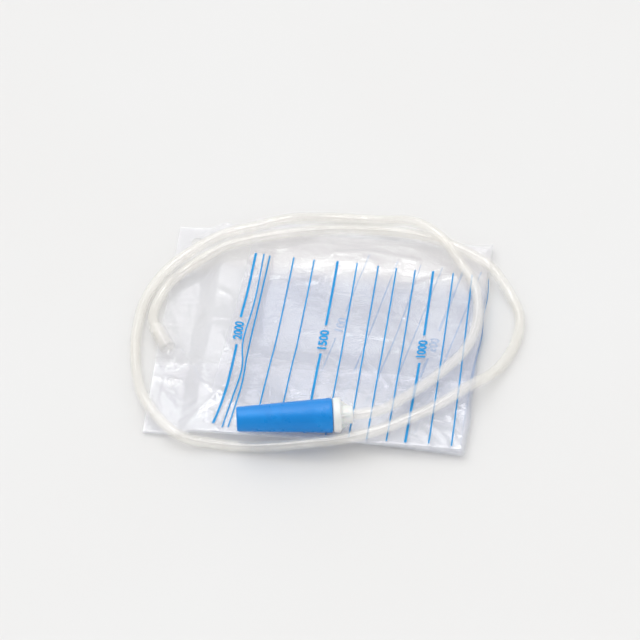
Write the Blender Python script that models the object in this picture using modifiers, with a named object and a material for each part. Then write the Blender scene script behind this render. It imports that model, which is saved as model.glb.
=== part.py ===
"""A 2000 ml urine drainage bag, folded up, with its inlet tube wound round on top of it.

Run with blender --background --python part.py, or from Blender's text editor. Metres, +Z up.
The origin is on the floor under the middle of the folded bag. +X runs along the bag, from its
top edge, where the inlet is, to the fold across it. -Y is the side of the fold along it. The
places below are measured from a mark on the bag, and one empty carries every piece to its place.
"""

import math

import bpy
import numpy as np
from mathutils import Matrix, Vector

MM = 0.001

# The mark's place, which puts the origin under the middle of the folded bag
MARK_X = 3.1 * MM
MARK_Y = -5.85 * MM

# What rests on another piece, or touches it, keeps this gap
REST_GAP = 0.3 * MM

# The bag as it was cut, before it was folded
FLAT_LENGTH = 300 * MM
FLAT_WIDTH = 200 * MM
FILM = 0.3 * MM

# Where the folded bag lies
TOP_EDGE_X = -86 * MM
FAR_EDGE_Y = 76 * MM
NEAR_FOLD_Y = -74 * MM
CROSS_FOLD_X = 78.7 * MM
CROSS_FOLD_SKEW = math.radians(2.2)

# Heights of the film layers above the core of the fold across the bag
CORE_RADIUS = 0.3 * MM
FRONT_LEVEL = 3.3 * MM
BACK_LEVEL = 2.6 * MM
BACK_STRIP_LEVEL = 1.2 * MM
FRONT_STRIP_LEVEL = 0.5 * MM
LONG_FOLD_ARC = 4.4 * MM
CROSS_FOLD_ARC = 6.0 * MM
CORE_HEIGHT = CORE_RADIUS + FRONT_LEVEL + FILM / 2

# The top end of the bag sinks to the floor, past the end of the panel folded under it
SINK_FROM_X = -58 * MM
SINK_TO_X = -71 * MM
FLOOR_GAP = 0.2 * MM
SINK_DEPTH = CORE_HEIGHT + CORE_RADIUS + FRONT_STRIP_LEVEL - FILM / 2 - FLOOR_GAP
STRIP_DEPTH = 2.0 * MM
STRIP_SLOPE = 6 * MM

# Where the folds start, and where the side that is folded under ends
CROSS_START = CROSS_FOLD_X - TOP_EDGE_X
LONG_FOLD_RADIUS = (FRONT_LEVEL - FRONT_STRIP_LEVEL) / 2
MAIN_WIDTH = FAR_EDGE_Y - NEAR_FOLD_Y - LONG_FOLD_RADIUS
STRIP_EDGE_Y = FAR_EDGE_Y - MAIN_WIDTH + FLAT_WIDTH - MAIN_WIDTH - LONG_FOLD_ARC

# The parts of the flat bag that lie round the port, which have closer stations
PORT_ZONE_END = 42 * MM
PORT_ZONE_FAR = 60 * MM
PORT_ZONE_NEAR = 118 * MM

# The inlet port, a sleeve welded between the films at the top edge
PORT_OVERHANG = 2.3 * MM
PORT_FROM_STRIP = 22.0 * MM
PORT_EXIT = Vector((TOP_EDGE_X - PORT_OVERHANG, STRIP_EDGE_Y + PORT_FROM_STRIP))
PORT_HEADING = Vector((-0.5, 0.866)).normalized()
PORT_LENGTH = 16 * MM
PORT_RADIUS = 4.2 * MM
PORT_BORE_RADIUS = 3.35 * MM
PORT_LIP = 0.6 * MM
PORT_RINGS = 4
PORT_RING_DEPTH = 0.3 * MM
PORT_RING_MARGIN = 3 * MM
BACK_SUNK = CORE_HEIGHT + CORE_RADIUS + BACK_LEVEL - SINK_DEPTH - STRIP_DEPTH
PORT_HEIGHT = BACK_SUNK + FILM / 2 + REST_GAP + PORT_RADIUS
PORT_BULGE = PORT_HEIGHT + PORT_RADIUS - BACK_SUNK + 2 * REST_GAP + FILM / 2 - (FRONT_LEVEL - BACK_LEVEL)
PORT_BULGE_HALF_WIDTH = 13 * MM
PORT_BULGE_START = 18 * MM
PORT_BULGE_END = 34 * MM

# The non-return valve, a flat film sleeve inside the bag
VALVE_LENGTH = 40 * MM
VALVE_WIDTH = 16 * MM
VALVE_FILM = 0.4 * MM
VALVE_GAP = 0.35 * MM
VALVE_PORT_GAP = 0.8 * MM
VALVE_BULGE = 0.85 * MM
VALVE_BULGE_MARGIN = 2 * MM
VALVE_BULGE_RUN = 8 * MM
VALVE_LIFT = 2.2 * MM
VALVE_LIFT_RUN = 14 * MM
VALVE_LIFT_SPREAD = 1.4
VALVE_STEPS = (10, 4)

# The hanging holes in the two top corners
HOLE_RADIUS = 3.5 * MM
HOLE_INSET = 11 * MM
HOLE_CUTTER_BOTTOM = -2 * MM
FAR_CUTTER_TOP = 12 * MM
NEAR_CUTTER_TOP = 1.6 * MM

# The connector and its cap, measured from the cap's side of the collar
COLLAR_X = 10.8 * MM
COLLAR_FROM_FOLD = 8.4 * MM
CONNECTOR_HEADING = Vector((-0.989, -0.150, 0.0)).normalized()
COLLAR_RADIUS = 8.95 * MM
COLLAR_HEIGHT = 2 * CORE_HEIGHT + REST_GAP + COLLAR_RADIUS
CONNECTOR_PLACE = Vector((COLLAR_X, NEAR_FOLD_Y + COLLAR_FROM_FOLD, COLLAR_HEIGHT))
COLLAR_THICKNESS = 4.0 * MM
COLLAR_ROUNDING = 0.7 * MM
SEAT_RADIUS = 7.2 * MM
SEAT_LENGTH = 4.0 * MM
SOCKET_LENGTH = 6 * MM
SOCKET_RADIUS = 4.7 * MM
SOCKET_BORE_RADIUS = 3.35 * MM
SOCKET_LEAD = 0.6 * MM
GUSSETS = 4
GUSSET_THICKNESS = 0.9 * MM
GUSSET_RUN = 4.3 * MM
GUSSET_RIM = 1.2 * MM
GUSSET_SINK = 0.4 * MM
NOZZLE_LENGTH = 41 * MM
NOZZLE_BORE_RADIUS = 2.2 * MM
NOZZLE_STEPS = ((5.7, 5.0), (5.2, 4.4), (4.6, 3.6))
CAP_LENGTH = 48.5 * MM
CAP_MOUTH_RADIUS = 8.9 * MM
CAP_END_RADIUS = 6.3 * MM
CAP_WALL = 1.2 * MM
CAP_END_ROUNDING = ((0.8, 0.0), (0.2, 0.25), (0.0, 0.9))
CAP_LIP = 0.4 * MM
CAP_BAND_LENGTH = 2.6 * MM
CAP_BAND_STEP = 0.15 * MM
CAP_END_RIM = 1.5 * MM
CAP_END_RECESS = 0.45 * MM
CAP_GATE_RADIUS = 0.9 * MM
CAP_GATE_HEIGHT = 0.3 * MM

# The inlet tube, by hand from the port to the connector, in millimetres
TUBE_RADIUS = 3.0 * MM
TUBE_POINTS = 80
TUBE_ROUTE_MM = (
    (-82.3, -14.0, 5.1), (-85.3, -8.8, 5.1), (-88.3, -3.6, 5.1), (-90.6, 2.0, 4.4), (-91.4, 8.5, 3.5),
    (-90.4, 16.0, 4.0), (-86.6, 26.5, 5.4), (-80.0, 37.0, 5.7), (-71.0, 46.0, 7.2), (-58.0, 54.0, 10.9),
    (-36.0, 63.5, 11.0), (-12.0, 70.0, 11.0), (12.0, 73.0, 11.0), (34.0, 73.0, 11.0), (50.0, 70.5, 11.0),
    (64.0, 65.5, 11.0), (76.0, 58.6, 11.0), (84.0, 52.8, 10.6), (90.5, 46.6, 7.0), (96.5, 38.0, 3.9),
    (101.5, 25.0, 3.2), (100.5, 6.5, 3.2), (95.0, -9.0, 3.4), (88.5, -20.5, 5.6), (82.5, -29.0, 9.6),
    (77.0, -35.0, 11.0), (62.5, -49.0, 11.0), (49.5, -58.5, 11.0), (37.5, -66.5, 11.0), (26.0, -72.0, 10.9),
    (14.5, -76.0, 10.3), (0.0, -78.3, 8.8), (-12.5, -79.3, 6.6), (-25.0, -79.5, 4.5), (-37.5, -79.3, 3.3),
    (-50.0, -78.6, 3.4), (-60.5, -78.7, 5.0), (-69.3, -76.0, 6.9), (-77.0, -69.0, 7.0), (-83.6, -60.8, 7.1),
    (-89.0, -51.5, 6.4), (-92.8, -40.5, 4.2), (-96.0, -27.5, 3.2), (-98.2, -12.0, 3.2), (-98.5, 3.0, 3.2),
    (-97.2, 16.5, 3.4), (-93.0, 29.5, 4.4), (-85.8, 42.3, 5.5), (-75.0, 53.8, 6.9), (-60.5, 62.5, 10.9),
    (-43.0, 70.5, 11.0), (-26.0, 78.1, 10.6), (-11.0, 84.0, 6.9), (3.0, 87.2, 4.6), (15.0, 87.2, 4.6),
    (26.5, 84.5, 8.0), (37.0, 79.8, 13.7), (48.0, 72.5, 17.4), (59.0, 63.5, 16.5), (68.5, 52.0, 11.7),
    (76.0, 39.5, 11.0), (79.3, 24.0, 11.0), (79.0, 7.0, 11.0), (74.5, -9.0, 11.0), (65.5, -23.0, 11.0),
    (55.0, -35.5, 11.0), (46.5, -45.2, 11.9), (38.6, -54.7, 14.2), (31.4, -61.0, 16.3), (23.2, -63.7, 16.75),
    (11.2, -65.54, 16.75),
)

SCREW_STEPS = 32


def clear_scene() -> None:
    """Removes what the scene starts with."""
    for obj in list(bpy.data.objects):
        bpy.data.objects.remove(obj, do_unlink=True)


def make_collection(name: str) -> bpy.types.Collection:
    """Returns a new collection, linked to the scene."""
    collection = bpy.data.collections.new(name)
    bpy.context.scene.collection.children.link(collection)
    return collection


def move_to(obj: bpy.types.Object, collection: bpy.types.Collection) -> None:
    """Puts the object in this collection only."""
    for other in list(obj.users_collection):
        other.objects.unlink(obj)
    collection.objects.link(obj)


def paint(obj: bpy.types.Object, colour: tuple, roughness: float, alpha: float = 1.0) -> None:
    """Gives the object a Principled material of its own."""
    material = bpy.data.materials.new(obj.name)
    material.use_nodes = True
    shader = material.node_tree.nodes["Principled BSDF"]
    shader.inputs["Base Color"].default_value = (*colour, 1.0)
    shader.inputs["Roughness"].default_value = roughness
    shader.inputs["Alpha"].default_value = alpha
    obj.data.materials.append(material)


def ease(value: float, start: float, end: float) -> float:
    """Returns 0 at start and 1 at end, with a smooth run between."""
    part = min(max((value - start) / (end - start), 0.0), 1.0)
    return part * part * (3 - 2 * part)


def along_port(x: float, y: float) -> tuple:
    """Returns how far a place is inward from the port's exit, and how far it is off its axis."""
    away = Vector((x, y)) - PORT_EXIT
    inward = -away.dot(PORT_HEADING)
    across = away.x * PORT_HEADING.y - away.y * PORT_HEADING.x
    return inward, across


def bump(across: float, half_width: float) -> float:
    """Returns a smooth hump, 1 on its axis and 0 from its half width on."""
    if abs(across) >= half_width:
        return 0.0
    return math.cos(math.pi * across / (2 * half_width)) ** 2


def main_sink(x: float, y: float) -> float:
    """Returns how far the top panel's own films lie below their height over the folded panel."""
    sunk = ease(x, SINK_FROM_X, SINK_TO_X)
    return sunk * (SINK_DEPTH + STRIP_DEPTH * ease(y, STRIP_EDGE_Y, STRIP_EDGE_Y + STRIP_SLOPE))


def front_bulge(x: float, y: float) -> float:
    """Returns how far the port and the valve lift the front film."""
    inward, across = along_port(x, y)
    port = PORT_BULGE * bump(across, PORT_BULGE_HALF_WIDTH)
    port *= 1 - ease(inward, PORT_BULGE_START, PORT_BULGE_END)
    end = PORT_LENGTH + VALVE_LENGTH + VALVE_BULGE_MARGIN
    side = VALVE_WIDTH / 2 + VALVE_BULGE_MARGIN
    valve = VALVE_BULGE * (1 - ease(inward, end, end + VALVE_BULGE_RUN))
    valve *= 1 - ease(abs(across), side, side + VALVE_BULGE_RUN)
    valve *= ease(inward, -VALVE_BULGE_RUN, PORT_LENGTH)
    return max(port, valve)


def no_bulge(x: float, y: float) -> float:
    """Returns 0 everywhere: the back film isn't lifted."""
    return 0.0


def panel_height(x: float, y: float, level: float) -> float:
    """Returns the height of a film of the top panel at this level."""
    return CORE_HEIGHT + CORE_RADIUS + level - main_sink(x, y)


def spaced(ends: tuple) -> list:
    """Returns stations along a sheet, from (place, number of steps to the next) pairs."""
    stations = []
    for (start, steps), (end, _) in zip(ends, ends[1:]):
        stations += [start + (end - start) * k / steps for k in range(steps)]
    return stations + [ends[-1][0]]


# Stations from the top edge down the bag, and from its far edge across it
DOWN = spaced((
    (0.0, 13), (PORT_ZONE_END, 5), (CROSS_START, 8), (CROSS_START + CROSS_FOLD_ARC, 3),
    (FLAT_LENGTH, 0),
))
ACROSS = spaced((
    (0.0, 4), (PORT_ZONE_FAR, 18), (PORT_ZONE_NEAR, 2), (MAIN_WIDTH, 6),
    (MAIN_WIDTH + LONG_FOLD_ARC, 4), (FLAT_WIDTH, 0),
))


def fold_long(across: float, level: float, strip_level: float) -> tuple:
    """Returns the place (y, level) of a station, once the near side is folded under."""
    if across <= MAIN_WIDTH:
        return FAR_EDGE_Y - across, level
    radius = (level - strip_level) / 2
    turn = (across - MAIN_WIDTH) / LONG_FOLD_ARC
    axis_y = FAR_EDGE_Y - MAIN_WIDTH
    if turn < 1:
        rise = radius * (1 + math.cos(math.pi * turn))
        return axis_y - radius * math.sin(math.pi * turn), strip_level + rise
    return axis_y + across - MAIN_WIDTH - LONG_FOLD_ARC, strip_level


def fold_cross(down: float, y: float, level: float) -> tuple:
    """Returns the place (x, y, z) of a station, once the bag is folded across."""
    skewed = ease(down, PORT_ZONE_END, CROSS_START)
    if down > CROSS_START + CROSS_FOLD_ARC:
        skewed = (FLAT_LENGTH - down) / (FLAT_LENGTH - CROSS_START - CROSS_FOLD_ARC)
    x = TOP_EDGE_X + down + math.tan(CROSS_FOLD_SKEW) * y * skewed
    if down <= CROSS_START:
        return x, y, CORE_HEIGHT + CORE_RADIUS + level
    axis = Vector((math.sin(CROSS_FOLD_SKEW), math.cos(CROSS_FOLD_SKEW)))
    outward = Vector((axis.y, -axis.x))
    place = Vector((x - CROSS_FOLD_X, y))
    past = place.dot(outward)
    radius = CORE_RADIUS + level
    turn = min(past / (CROSS_FOLD_ARC * axis.y), 1.0)
    flat = axis * place.dot(axis) + outward * radius * math.sin(math.pi * turn)
    if turn >= 1:
        flat = axis * place.dot(axis) - outward * (past - CROSS_FOLD_ARC * axis.y)
    return CROSS_FOLD_X + flat.x, flat.y, CORE_HEIGHT + radius * math.cos(math.pi * turn)


def make_film(name: str, level: float, strip_level: float, bulge, colour: tuple) -> bpy.types.Object:
    """Makes one film of the bag, folded along and then across.

    Args:
        name: The film's name.
        level: Its height above the core of the fold across the bag.
        strip_level: That height where its near side is folded under.
        bulge: A function of (x, y) that gives how far the film is lifted there.
        colour: Its linear colour.

    Returns:
        The film, as an open surface with Solidify.
    """
    bpy.ops.mesh.primitive_grid_add(x_subdivisions=len(DOWN) - 1, y_subdivisions=len(ACROSS) - 1, size=2)
    film = bpy.context.object
    film.name = name
    for vertex in film.data.vertices:
        down = DOWN[round((vertex.co.x + 1) / 2 * (len(DOWN) - 1))]
        across = ACROSS[round((1 - vertex.co.y) / 2 * (len(ACROSS) - 1))]
        y, here = fold_long(across, level, strip_level)
        x, y, z = fold_cross(down, y, here)
        if down < CROSS_START:
            over_strip = ease(here, strip_level, level)
            strip_sink = ease(x, SINK_FROM_X, SINK_TO_X) * SINK_DEPTH
            z -= over_strip * main_sink(x, y) + (1 - over_strip) * strip_sink
            z += over_strip * bulge(x, y)
        vertex.co = (x, y, z)
    solidify = film.modifiers.new("Film", "SOLIDIFY")
    solidify.thickness = FILM
    solidify.offset = 0.0
    solidify.use_even_offset = True
    film.data.shade_smooth()
    paint(film, colour, 0.3, 0.5)
    return film


def cut_hanging_hole(films: list, corner_across: float, top: float, cutters: bpy.types.Collection) -> None:
    """Punches a hanging hole through the films at a top corner.

    Args:
        films: The films to cut.
        corner_across: The hole's distance across the flat bag from its far edge.
        top: The cutter's upper end.
        cutters: The collection for the cutter.
    """
    y, _ = fold_long(corner_across, FRONT_LEVEL, FRONT_STRIP_LEVEL)
    bpy.ops.mesh.primitive_cylinder_add(
        vertices=16, radius=HOLE_RADIUS, depth=top - HOLE_CUTTER_BOTTOM,
        location=(TOP_EDGE_X + HOLE_INSET, y, (top + HOLE_CUTTER_BOTTOM) / 2),
    )
    cutter = bpy.context.object
    cutter.name = f"hole_cutter_{len(cutters.objects)}"
    cutter.hide_render = True
    cutter.display_type = "WIRE"
    move_to(cutter, cutters)
    for film in films:
        cut = film.modifiers.new("Hanging hole", "BOOLEAN")
        cut.operation = "DIFFERENCE"
        cut.solver = "EXACT"
        cut.object = cutter


def standing(place: Vector, heading: Vector) -> Matrix:
    """Returns the matrix that carries +Z at the origin to the heading at the place."""
    return Matrix.Translation(place) @ heading.to_track_quat("Z", "Y").to_matrix().to_4x4()


def turned(name: str, profile: list, closed: bool, place: Vector, heading: Vector) -> bpy.types.Object:
    """Makes a turned piece from a profile of (radius, height) points.

    Args:
        name: The piece's name.
        profile: The points, down the outer side from top to bottom.
        closed: Whether the last point joins the first, as on a piece with a bore right through.
        place: Where the profile's height 0 lies.
        heading: The direction in which the profile's height grows.

    Returns:
        The piece, as a profile with a Screw modifier.
    """
    count = len(profile)
    edges = [(k, k + 1) for k in range(count - 1)] + ([(count - 1, 0)] if closed else [])
    mesh = bpy.data.meshes.new(name)
    mesh.from_pydata([(radius, 0.0, height) for radius, height in profile], edges, [])
    piece = bpy.data.objects.new(name, mesh)
    bpy.context.scene.collection.objects.link(piece)
    screw = piece.modifiers.new("Turn", "SCREW")
    screw.steps = SCREW_STEPS
    screw.render_steps = SCREW_STEPS
    screw.use_merge_vertices = True
    screw.merge_threshold = 0.00001
    screw.use_smooth_shade = True
    piece.matrix_world = standing(place, heading)
    return piece


def make_port() -> bpy.types.Object:
    """Makes the inlet port, a short sleeve with a lip at each end and rings that the weld grips."""
    outer, bore = PORT_RADIUS, PORT_BORE_RADIUS
    profile = [(outer - PORT_LIP, 0.0), (outer, -PORT_LIP)]
    pitch = (PORT_LENGTH - 2 * PORT_RING_MARGIN) / PORT_RINGS
    for number in range(PORT_RINGS):
        start = -PORT_RING_MARGIN - number * pitch
        profile += [(outer, start), (outer - PORT_RING_DEPTH, start - pitch / 4),
                    (outer - PORT_RING_DEPTH, start - pitch / 2), (outer, start - pitch * 3 / 4)]
    profile += [
        (outer, PORT_LIP - PORT_LENGTH), (outer - PORT_LIP, -PORT_LENGTH), (bore, -PORT_LENGTH),
        (bore, 0.0),
    ]
    place = Vector((*PORT_EXIT, PORT_HEIGHT))
    port = turned("inlet_port", profile, True, place, Vector((*PORT_HEADING, 0.0)))
    paint(port, (0.88, 0.88, 0.84), 0.3, 0.7)
    return port


def make_valve() -> bpy.types.Object:
    """Makes the non-return valve, a flat sleeve that runs from the port into the bag."""
    bpy.ops.mesh.primitive_grid_add(x_subdivisions=VALVE_STEPS[0], y_subdivisions=VALVE_STEPS[1], size=2)
    valve = bpy.context.object
    valve.name = "non_return_valve"
    side = Vector((PORT_HEADING.y, -PORT_HEADING.x))
    for vertex in valve.data.vertices:
        run = (vertex.co.x + 1) / 2 * VALVE_LENGTH
        place = PORT_EXIT - PORT_HEADING * (PORT_LENGTH + VALVE_PORT_GAP + run)
        place -= side * vertex.co.y * VALVE_WIDTH / 2
        height = panel_height(place.x, place.y, BACK_LEVEL) + FILM / 2 + VALVE_GAP + VALVE_FILM / 2
        lift = VALVE_LIFT * (1 - ease(run, 0.0, VALVE_LIFT_RUN)) * bump(vertex.co.y, VALVE_LIFT_SPREAD)
        vertex.co = (place.x, place.y, height + lift)
    solidify = valve.modifiers.new("Film", "SOLIDIFY")
    solidify.thickness = VALVE_FILM
    solidify.offset = 0.0
    valve.data.shade_smooth()
    paint(valve, (0.85, 0.85, 0.9), 0.3, 0.5)
    return valve


def smooth_route(points: tuple, count: int) -> list:
    """Returns evenly spaced points of a centripetal Catmull-Rom curve through the route's points."""
    knots = [np.array(point, float) * MM for point in points]
    knots = [2 * knots[0] - knots[1]] + knots + [2 * knots[-1] - knots[-2]]
    dense = []
    for a, b, c, d in zip(knots, knots[1:], knots[2:], knots[3:]):
        t1 = math.sqrt(np.linalg.norm(b - a))
        t2 = t1 + math.sqrt(np.linalg.norm(c - b))
        t3 = t2 + math.sqrt(np.linalg.norm(d - c))
        for t in np.linspace(t1, t2, 24, endpoint=False):
            ab = (a * (t1 - t) + b * t) / t1
            bc = (b * (t2 - t) + c * (t - t1)) / (t2 - t1)
            cd = (c * (t3 - t) + d * (t - t2)) / (t3 - t2)
            abc = (ab * (t2 - t) + bc * t) / t2
            bcd = (bc * (t3 - t) + cd * (t - t1)) / (t3 - t1)
            dense.append((abc * (t2 - t) + bcd * (t - t1)) / (t2 - t1))
    dense.append(knots[-2])
    dense = np.array(dense)
    runs = np.concatenate(([0.0], np.cumsum(np.linalg.norm(np.diff(dense, axis=0), axis=1))))
    places = np.linspace(0.0, runs[-1], count)
    return [tuple(float(np.interp(place, runs, dense[:, k])) for k in range(3)) for place in places]


def make_tube() -> bpy.types.Object:
    """Makes the inlet tube, from inside the port to inside the connector's socket."""
    curve = bpy.data.curves.new("inlet_tube", "CURVE")
    curve.dimensions = "3D"
    curve.bevel_depth = TUBE_RADIUS
    curve.bevel_resolution = 2
    curve.use_fill_caps = True
    route = smooth_route(TUBE_ROUTE_MM, TUBE_POINTS)
    spline = curve.splines.new("POLY")
    spline.points.add(len(route) - 1)
    for point, place in zip(spline.points, route):
        point.co = (*place, 1.0)
    tube = bpy.data.objects.new("inlet_tube", curve)
    bpy.context.scene.collection.objects.link(tube)
    paint(tube, (0.9, 0.88, 0.8), 0.25, 0.8)
    return tube


def join_gussets(connector: bpy.types.Object, cutters: bpy.types.Collection) -> None:
    """Joins the ribs between the collar's back and the socket to the connector.

    Args:
        connector: The connector.
        cutters: The collection for the ribs that the joins use.
    """
    top, foot = GUSSET_SINK - COLLAR_THICKNESS, -COLLAR_THICKNESS - GUSSET_RUN
    inner, outer = SOCKET_RADIUS - GUSSET_SINK, COLLAR_RADIUS - GUSSET_RIM
    for number in range(GUSSETS):
        bpy.ops.mesh.primitive_cube_add(size=1)
        rib = bpy.context.object
        rib.name = f"gusset_{number}"
        for vertex in rib.data.vertices:
            low, inward = vertex.co.z < 0, vertex.co.x < 0
            reach = inner if inward else SOCKET_RADIUS - GUSSET_SINK / 2 if low else outer
            vertex.co = (reach, math.copysign(GUSSET_THICKNESS / 2, vertex.co.y), foot if low else top)
        turn = Matrix.Rotation(math.tau * (number + 0.5) / GUSSETS, 4, "Z")
        rib.matrix_world = standing(CONNECTOR_PLACE, CONNECTOR_HEADING) @ turn
        rib.hide_render = True
        rib.display_type = "WIRE"
        move_to(rib, cutters)
        join = connector.modifiers.new("Gusset", "BOOLEAN")
        join.operation = "UNION"
        join.solver = "EXACT"
        join.object = rib


def make_connector(cutters: bpy.types.Collection) -> bpy.types.Object:
    """Makes the connector: a stepped nozzle, the cap's seat, the collar and the tube's ribbed socket."""
    step_length = (NOZZLE_LENGTH - SEAT_LENGTH) / len(NOZZLE_STEPS)
    outer = []
    for number, (wide, narrow) in enumerate(NOZZLE_STEPS):
        base = SEAT_LENGTH + number * step_length
        outer = [(narrow * MM, base + step_length), (wide * MM, base)] + outer
    profile = outer + [
        (SEAT_RADIUS, SEAT_LENGTH), (SEAT_RADIUS, 0.0),
        (COLLAR_RADIUS - COLLAR_ROUNDING, 0.0), (COLLAR_RADIUS, -COLLAR_ROUNDING),
        (COLLAR_RADIUS, COLLAR_ROUNDING - COLLAR_THICKNESS),
        (COLLAR_RADIUS - COLLAR_ROUNDING, -COLLAR_THICKNESS),
        (SOCKET_RADIUS, -COLLAR_THICKNESS), (SOCKET_RADIUS, SOCKET_LEAD - COLLAR_THICKNESS - SOCKET_LENGTH),
        (SOCKET_RADIUS - SOCKET_LEAD, -COLLAR_THICKNESS - SOCKET_LENGTH),
        (SOCKET_BORE_RADIUS, -COLLAR_THICKNESS - SOCKET_LENGTH), (SOCKET_BORE_RADIUS, 0.0),
        (NOZZLE_BORE_RADIUS, 0.0), (NOZZLE_BORE_RADIUS, NOZZLE_LENGTH),
    ]
    connector = turned("tube_connector", profile, True, CONNECTOR_PLACE, CONNECTOR_HEADING)
    join_gussets(connector, cutters)
    paint(connector, (0.9, 0.89, 0.83), 0.35)
    return connector


def make_cap() -> bpy.types.Object:
    """Makes the cap, closed at its far end, with a band at its mouth, that slides off the nozzle."""
    end = REST_GAP + CAP_LENGTH
    inner_end = end - CAP_WALL
    floor, band = end - CAP_END_RECESS, REST_GAP + CAP_BAND_LENGTH
    rounding = [(CAP_END_RADIUS - inset * MM, end - drop * MM) for inset, drop in CAP_END_ROUNDING]
    hollow = [
        (0.0, floor + CAP_GATE_HEIGHT), (CAP_GATE_RADIUS, floor + CAP_GATE_HEIGHT), (CAP_GATE_RADIUS, floor),
        (CAP_END_RADIUS - CAP_END_RIM - CAP_END_RECESS, floor), (CAP_END_RADIUS - CAP_END_RIM, end),
    ]
    profile = hollow + rounding + [
        (CAP_MOUTH_RADIUS - CAP_BAND_STEP, band + CAP_BAND_STEP), (CAP_MOUTH_RADIUS, band),
        (CAP_MOUTH_RADIUS, REST_GAP + CAP_LIP), (CAP_MOUTH_RADIUS - CAP_LIP, REST_GAP),
        (CAP_MOUTH_RADIUS - CAP_WALL, REST_GAP), (CAP_END_RADIUS - CAP_WALL, inner_end), (0.0, inner_end),
    ]
    cap = turned("connector_cap", profile, False, CONNECTOR_PLACE, CONNECTOR_HEADING)
    paint(cap, (0.01, 0.2, 0.72), 0.35)
    return cap


def carry(pieces: list, parts: bpy.types.Collection) -> None:
    """Parents the pieces to one empty at the mark's place."""
    mark = bpy.data.objects.new("mark", None)
    mark.location = (MARK_X, MARK_Y, 0.0)
    parts.objects.link(mark)
    for piece in pieces:
        piece.parent = mark


def main() -> None:
    """Builds the folded bag, its inlet, its tube, the connector and the cap."""
    clear_scene()
    parts = make_collection("urine_drainage_bag")
    cutters = make_collection("cutters")
    front = make_film("front_film", FRONT_LEVEL, FRONT_STRIP_LEVEL, front_bulge, (0.8, 0.82, 0.9))
    back = make_film("back_film", BACK_LEVEL, BACK_STRIP_LEVEL, no_bulge, (0.84, 0.84, 0.92))
    cut_hanging_hole([front, back], HOLE_INSET, FAR_CUTTER_TOP, cutters)
    cut_hanging_hole([front, back], FLAT_WIDTH - HOLE_INSET, NEAR_CUTTER_TOP, cutters)
    for piece in (front, back, make_port(), make_valve(), make_tube(), make_connector(cutters), make_cap()):
        move_to(piece, parts)
    carry([*parts.objects, *cutters.objects], parts)


main()
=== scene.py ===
"""A 2000 ml urine drainage bag, folded up on a pale floor, with its inlet tube wound round on it.

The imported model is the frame. Metres, +Z up. Places on the bag are measured from a mark near its
middle, and BagFold carries them to the row frame.
"""

import logging
import math
from dataclasses import dataclass
from enum import Enum

import bmesh
import bpy
import numpy as np
from bpy.types import Material, Node, NodeSocket, NodeTree, Object
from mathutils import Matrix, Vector
from mathutils.kdtree import KDTree


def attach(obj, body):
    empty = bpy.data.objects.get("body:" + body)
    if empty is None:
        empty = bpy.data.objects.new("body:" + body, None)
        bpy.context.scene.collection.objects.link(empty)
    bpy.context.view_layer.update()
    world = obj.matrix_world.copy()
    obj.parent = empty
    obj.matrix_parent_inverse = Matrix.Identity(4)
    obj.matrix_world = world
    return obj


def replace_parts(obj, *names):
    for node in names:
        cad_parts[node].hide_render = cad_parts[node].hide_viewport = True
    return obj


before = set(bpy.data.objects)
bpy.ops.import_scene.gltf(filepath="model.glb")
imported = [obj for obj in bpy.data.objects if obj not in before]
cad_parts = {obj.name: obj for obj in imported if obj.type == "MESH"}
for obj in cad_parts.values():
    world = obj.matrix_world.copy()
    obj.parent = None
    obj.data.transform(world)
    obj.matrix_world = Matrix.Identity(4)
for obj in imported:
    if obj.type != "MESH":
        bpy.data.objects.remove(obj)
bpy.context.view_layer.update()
MM = 0.001
NOZZLE_PLACE = (0.0108, -0.0656, 0.01675)
NOZZLE_HEADING = (-0.989, -0.150, 0.0)
Array = np.ndarray

log = logging.getLogger("urine_drainage_bag")


def ease(value: Array, start: float, end: float) -> Array:
    """Returns 0 at start and 1 at end, with a smooth run between."""
    part = np.clip((value - start) / (end - start), 0.0, 1.0)
    return part * part * (3 - 2 * part)


def within(value: Array, rise: tuple, fall: tuple) -> Array:
    """Returns a share that goes up from 0 to 1 over the rise, and down again over the fall."""
    return ease(value, *rise) * (1 - ease(value, *fall))


def deselect() -> None:
    """Leaves object mode's selection empty."""
    bpy.ops.object.select_all(action="DESELECT")


def take(piece: Object) -> None:
    """Makes a piece the only selected object, and the active one.

    Args:
        piece: The piece.
    """
    deselect()
    piece.select_set(True)
    bpy.context.view_layer.objects.active = piece


def add_piece(name: str, mesh: bpy.types.Mesh, material: Material) -> Object:
    """Puts a mesh into the scene as a piece.

    Args:
        name: The piece's name.
        mesh: Its mesh.
        material: Its one material.

    Returns:
        The piece.
    """
    mesh.materials.append(material)
    piece = bpy.data.objects.new(name, mesh)
    bpy.context.scene.collection.objects.link(piece)
    return piece


def grid_quads(rows: int, columns: int) -> Array:
    """Returns the four point numbers of each quad of a grid that is numbered along its rows."""
    corner = np.arange(rows - 1)[:, None] * columns + np.arange(columns - 1)
    return np.stack([corner, corner + 1, corner + columns + 1, corner + columns], axis=-1)


def lay_quads(name: str, places: Array, quads: Array, flat: Array, material: Material) -> Object:
    """Makes a smooth piece from its quads.

    Args:
        name: The piece's name.
        places: Its points, with x, y and z last.
        quads: The four point numbers of each quad.
        flat: The UV place of each corner of each quad.
        material: Its material.

    Returns:
        The piece.
    """
    mesh = bpy.data.meshes.new(name)
    mesh.from_pydata(places.reshape(-1, 3).tolist(), [], quads.tolist())
    mesh.uv_layers.new(name="laid_flat").data.foreach_set("uv", flat.ravel())
    mesh.shade_smooth()
    return add_piece(name, mesh, material)


def mark_weld(sheet: Object, share: Array) -> None:
    """Gives a sheet's points the share of weld that the film's finish reads."""
    sheet.data.attributes.new("weld", "FLOAT", "POINT").data.foreach_set("value", share.ravel())


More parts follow.
